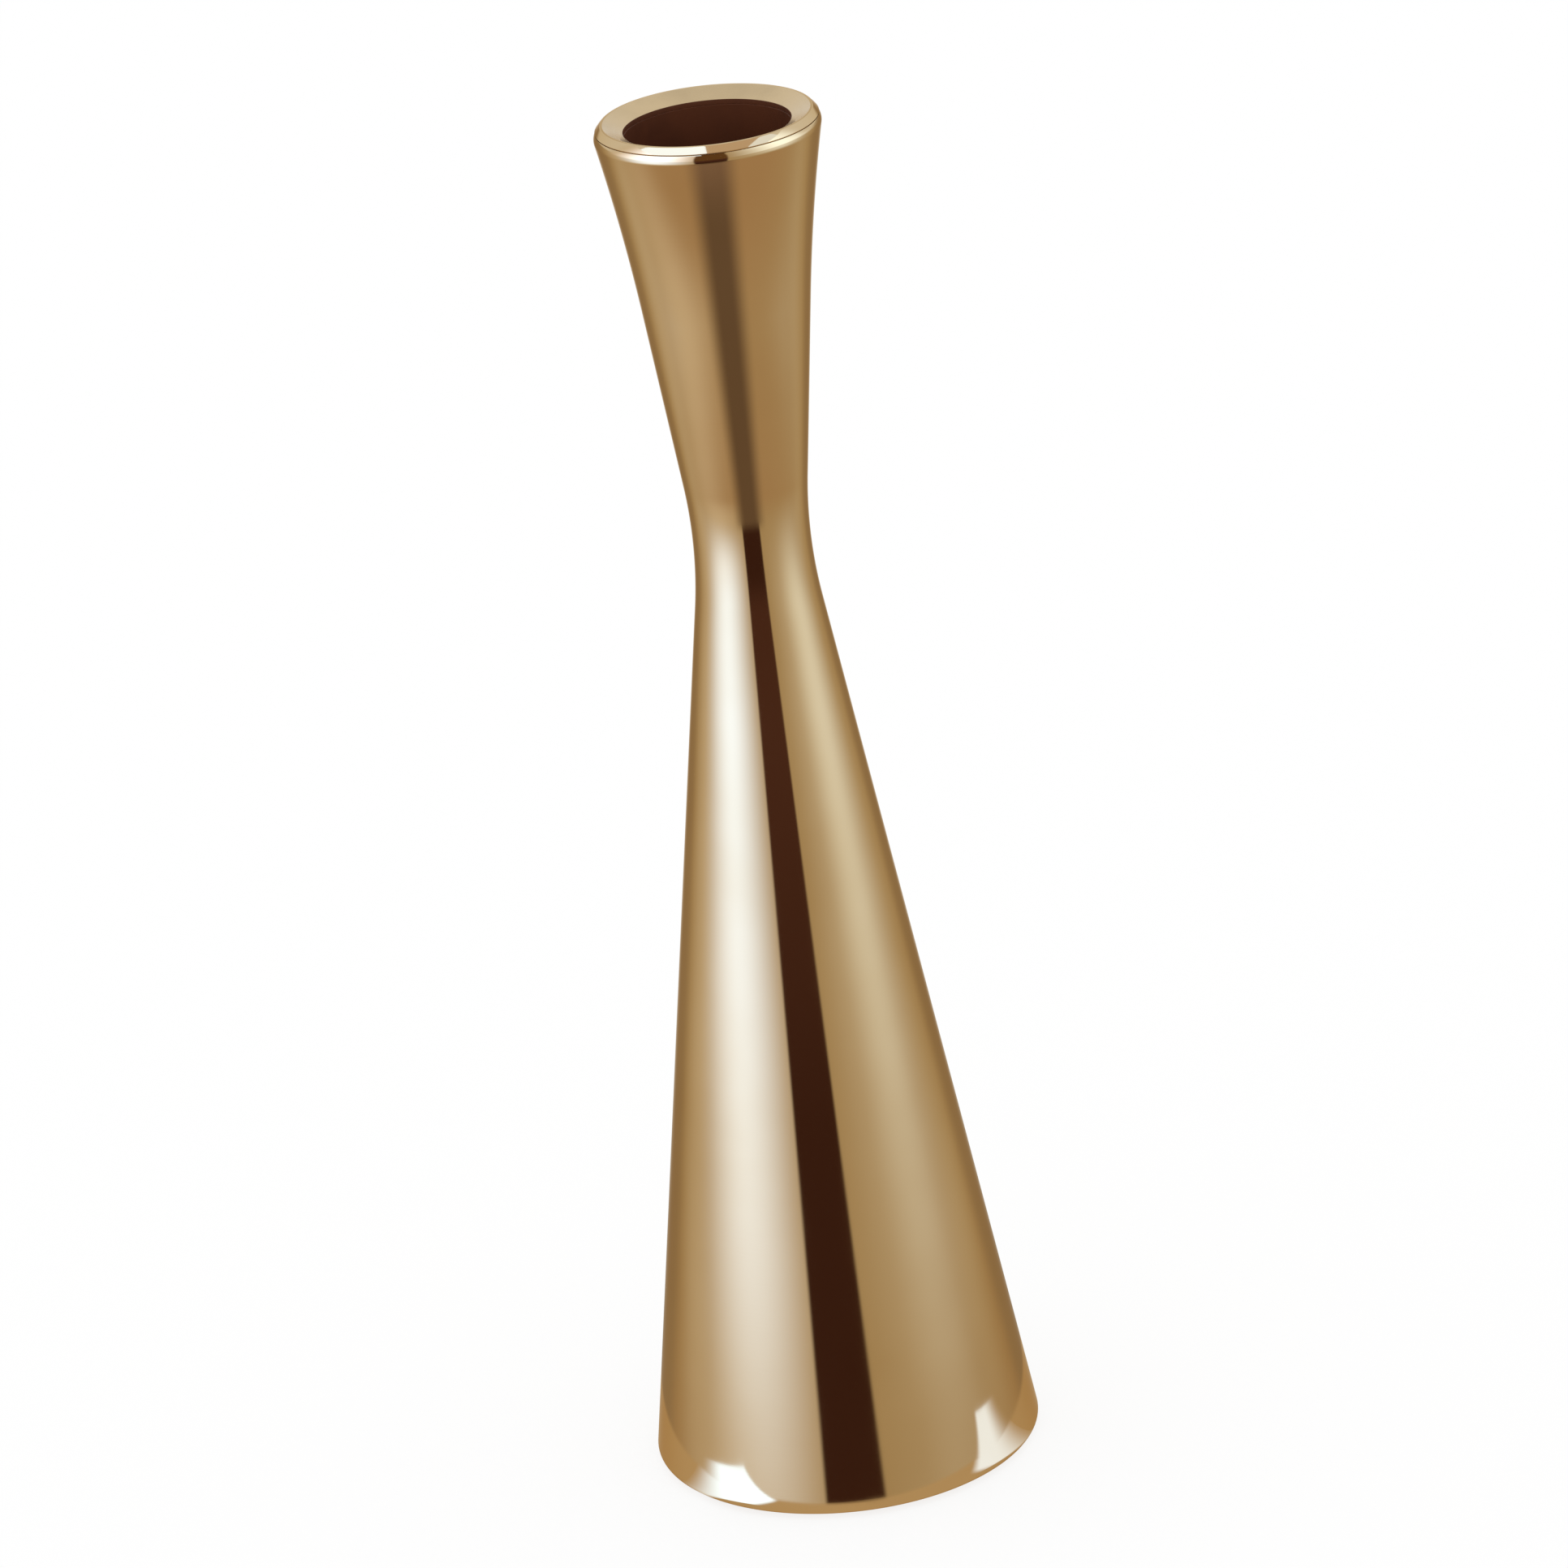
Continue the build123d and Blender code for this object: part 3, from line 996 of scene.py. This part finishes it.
def roomMaterial():
    material, tree = bareMaterial("studioBoards")
    turn, z = turnAndHeight(tree)
    sides = calc(tree, "ABSOLUTE", turn)
    colour = blendColours(tree, ramp(tree, z, *room["lowColourTop"]), room["lowColour"], room["colour"])
    colour = blendColours(tree, ramp(tree, sides, *room["flagEdges"]), colour, room["flagColour"])
    for board in boards:
        aside = calc(tree, "ABSOLUTE", calc(tree, "SUBTRACT", turn, board["at"]))
        aside = calc(tree, "PINGPONG", aside, 180.0)  # the shorter way round
        height = 0.0
        for share, lowest, full in board["heights"]:
            height = calc(tree, "ADD", ramp(tree, z, lowest, full, 0.0, share), height)
        lit = calc(tree, "MULTIPLY", ramp(tree, aside, board["half"], 0.0), height)
        light = vectorCalc(tree, "SCALE", {0: board["light"], "Scale": lit})[0]
        colour = vectorCalc(tree, "ADD", {0: colour, 1: light})[0]
    behind = calc(tree, "MULTIPLY", ramp(tree, sides, *room["backEdges"]), ramp(tree, z, *room["backLow"]))
    colour = blendColours(tree, behind, colour, room["backColour"])
    # the dark gap between the boards in front, crisp above and soft below
    above = ramp(tree, z, *room["lowGapTop"])
    crisp = ramp(tree, sides, *room["gapEdges"], 1.0, 0.0)
    soft = ramp(tree, sides, *room["lowGapEdges"], 1.0, 0.0)
    gapShare = addNode(tree, "ShaderNodeMix", {0: above, 2: soft, 3: crisp}).outputs[0]
    deep = ramp(tree, z, *room["lowGapFloor"])
    lowTone = blendColours(tree, deep, room["lowGapFloorColour"], room["lowGapColour"])
    stripe = blendColours(tree, ramp(tree, z, *room["gapFootTop"]), room["gapFootColour"], room["gapColour"])
    gapTone = blendColours(tree, above, lowTone, stripe)
    gapTone = blendColours(tree, ramp(tree, z, *room["highGapLow"]), gapTone, room["highGapColour"])
    setSurface(tree, glow(tree, blendColours(tree, gapShare, colour, gapTone)))
    return material


def addRoom():
    bm = bmesh.new()
    openDrum(bm, room["radius"], room["bottom"], room["top"])
    mirroredOnly(stageMesh("studioBoards", bm, roomMaterial()))


cards = [
    {"name": "ceiling", "glow": (0.76, 0.755, 0.735), "z": 1.6, "x": (-3, 3), "y": (-3, 3)},
    {"name": "ceilingGap", "glow": (0.13, 0.065, 0.025), "z": 1.2, "x": (-0.18, 0.30), "y": (-1.1, -0.66)},
    {"name": "ceilingMiddle", "glow": (0.60, 0.48, 0.37), "z": 1.22, "x": (-0.06, 0.63), "y": (-1.1, 0.12)},
    {"name": "ceilingLeft", "glow": (1.25, 1.6, 2.3), "z": 1.21, "x": (-1.3, -0.05), "y": (-1.1, 0.12)},
    {"name": "ceilingRight", "glow": (0.95, 1.1, 1.35), "z": 1.21, "x": (0.62, 1.3), "y": (-1.1, 0.12)},
    {"name": "belowTable", "glow": (0.66, 0.55, 0.38), "z": -0.96, "x": (-3, 3), "y": (-3, 3)},
]


def addCard(card):
    material, tree = bareMaterial(card["name"])
    setSurface(tree, glow(tree, rgb(*card["glow"])))
    bm = bmesh.new()
    (x0, x1), (y0, y1), z = card["x"], card["y"], card["z"]
    bm.faces.new([bm.verts.new(corner) for corner in ((x0, y0, z), (x1, y0, z), (x1, y1, z), (x0, y1, z))])
    mirroredOnly(stageMesh(card["name"], bm, material))


floor = {
    "radius": 5.0,
    "segments": 128,
    "drop": 0.00005,
    "colour": (1.0, 1.0, 1.0),
    "glowShare": 0.82,
    "mirroredRadius": (0.039, 0.042),
    "mirrored": (0.55, 0.42, 0.258),
}
# two white cards lying beside the foot, seen only in the brass; soft is the width of their
# crisp edges and of the soft one at the back
footCards = [
    {"x": (-0.046, -0.020), "y": (-0.035, -0.010), "soft": (0.002, 0.012), "glow": (1.35, 1.85, 2.9)},
    {"x": (0.024, 0.061), "y": (-0.025, -0.004), "soft": (0.003, 0.013), "glow": (1.14, 1.42, 2.05)},
]


def floorMaterial():
    # reflections see only the floor near the foot and its cards, and the boards beyond them
    material, tree = bareMaterial("paleFloor")
    place = addNode(tree, "ShaderNodeTexCoord").outputs["Object"]
    x, y = addNode(tree, "ShaderNodeSeparateXYZ", {0: place}).outputs[:2]
    reach = vectorCalc(tree, "LENGTH", {0: place})["Value"]
    seen = ramp(tree, reach, *floor["mirroredRadius"], 1.0, 0.0)
    tone = floor["mirrored"]
    path = addNode(tree, "ShaderNodeLightPath")
    unscreened = calc(tree, "LESS_THAN", path.outputs["Transparent Depth"], 0.5)
    for card in footCards:
        (left, right), (front, back), (crisp, soft) = card["x"], card["y"], card["soft"]
        share = unscreened
        for edge in (
            ramp(tree, x, left, left + crisp),
            ramp(tree, x, right - crisp, right, 1.0, 0.0),
            ramp(tree, y, front, front + crisp),
            ramp(tree, y, back - soft, back, 1.0, 0.0),
        ):
            share = calc(tree, "MULTIPLY", share, edge)
        tone = blendColours(tree, share, tone, card["glow"])
        seen = calc(tree, "MAXIMUM", seen, share)
    pale = addNode(tree, "ShaderNodeBsdfDiffuse", {"Color": rgb(*floor["colour"])}).outputs[0]
    plain = mixShaders(tree, floor["glowShare"], pale, glow(tree, rgb(*floor["colour"])))
    mirrored = mixShaders(tree, seen, clear(tree), glow(tree, tone))
    setSurface(tree, mixShaders(tree, path.outputs["Is Glossy Ray"], plain, mirrored))
    return material


def addFloor():
    bm = bmesh.new()
    bmesh.ops.create_circle(bm, cap_ends=True, segments=floor["segments"], radius=floor["radius"])
    piece = stageMesh("floor", bm, floorMaterial())
    piece.location.z = -floor["drop"]


# clear screens standing out from the foot: a reflection that has passed one leaves out the
# white cards, which keeps them off the foot's edges in views from the sides and from behind
screens = {
    "turns": (-90, 0, 0, 90),
    "shifts": (0.011, -0.0035, 0.0035, -0.006),
    "reach": 0.09,
    "height": 0.06,
}


def addScreens():
    material, tree = bareMaterial("clearScreens")
    setSurface(tree, clear(tree))
    bm = bmesh.new()
    reach, height = screens["reach"], screens["height"]
    for turn, shift in zip(screens["turns"], screens["shifts"]):
        stand = Matrix.Rotation(math.radians(turn), 3, "Z")
        near, nearTop = (math.sqrt((wallRadius(z / mm, 0) * mm) ** 2 - shift**2) for z in (0, height))
        section = [(near, 0), (reach, 0), (reach, height), (nearTop, height)]
        bm.faces.new([bm.verts.new(stand @ Vector((shift, -y, z))) for y, z in section])
    mirroredOnly(stageMesh("clearScreens", bm, material))


# a card rolled over the mouth, pale inside and clear from outside: only the ring's dish mirrors it
mouthCard = {
    "radius": 0.01412,
    "aboveTop": (0.0002, 0.08),
    "back": (0.76, 0.755, 0.735),
    "front": (0.50, 0.45, 0.38),
    "edges": (60.0, 130.0),
}


def addMouthCard():
    material, tree = bareMaterial("mouthCard")
    turn = turnAndHeight(tree)[0]
    behind = ramp(tree, calc(tree, "ABSOLUTE", turn), *mouthCard["edges"])
    tone = blendColours(tree, behind, mouthCard["front"], mouthCard["back"])
    inside = addNode(tree, "ShaderNodeNewGeometry").outputs["Backfacing"]
    setSurface(tree, mixShaders(tree, inside, clear(tree), glow(tree, tone)))
    bm = bmesh.new()
    bottom, top = (topFace * mm + rise for rise in mouthCard["aboveTop"])
    openDrum(bm, mouthCard["radius"], bottom, top)
    mirroredOnly(stageMesh("mouthCard", bm, material))


def addWorld():
    world = bpy.data.worlds.new("whiteWorld")
    scene.world = world
    world.use_nodes = True
    back = world.node_tree.nodes["Background"]
    back.inputs["Color"].default_value = rgb(1, 1, 1)
    back.inputs["Strength"].default_value = 1.0


addRoom()
for card in cards:
    addCard(card)
addFloor()
addScreens()
addMouthCard()
addWorld()
print("stage set")
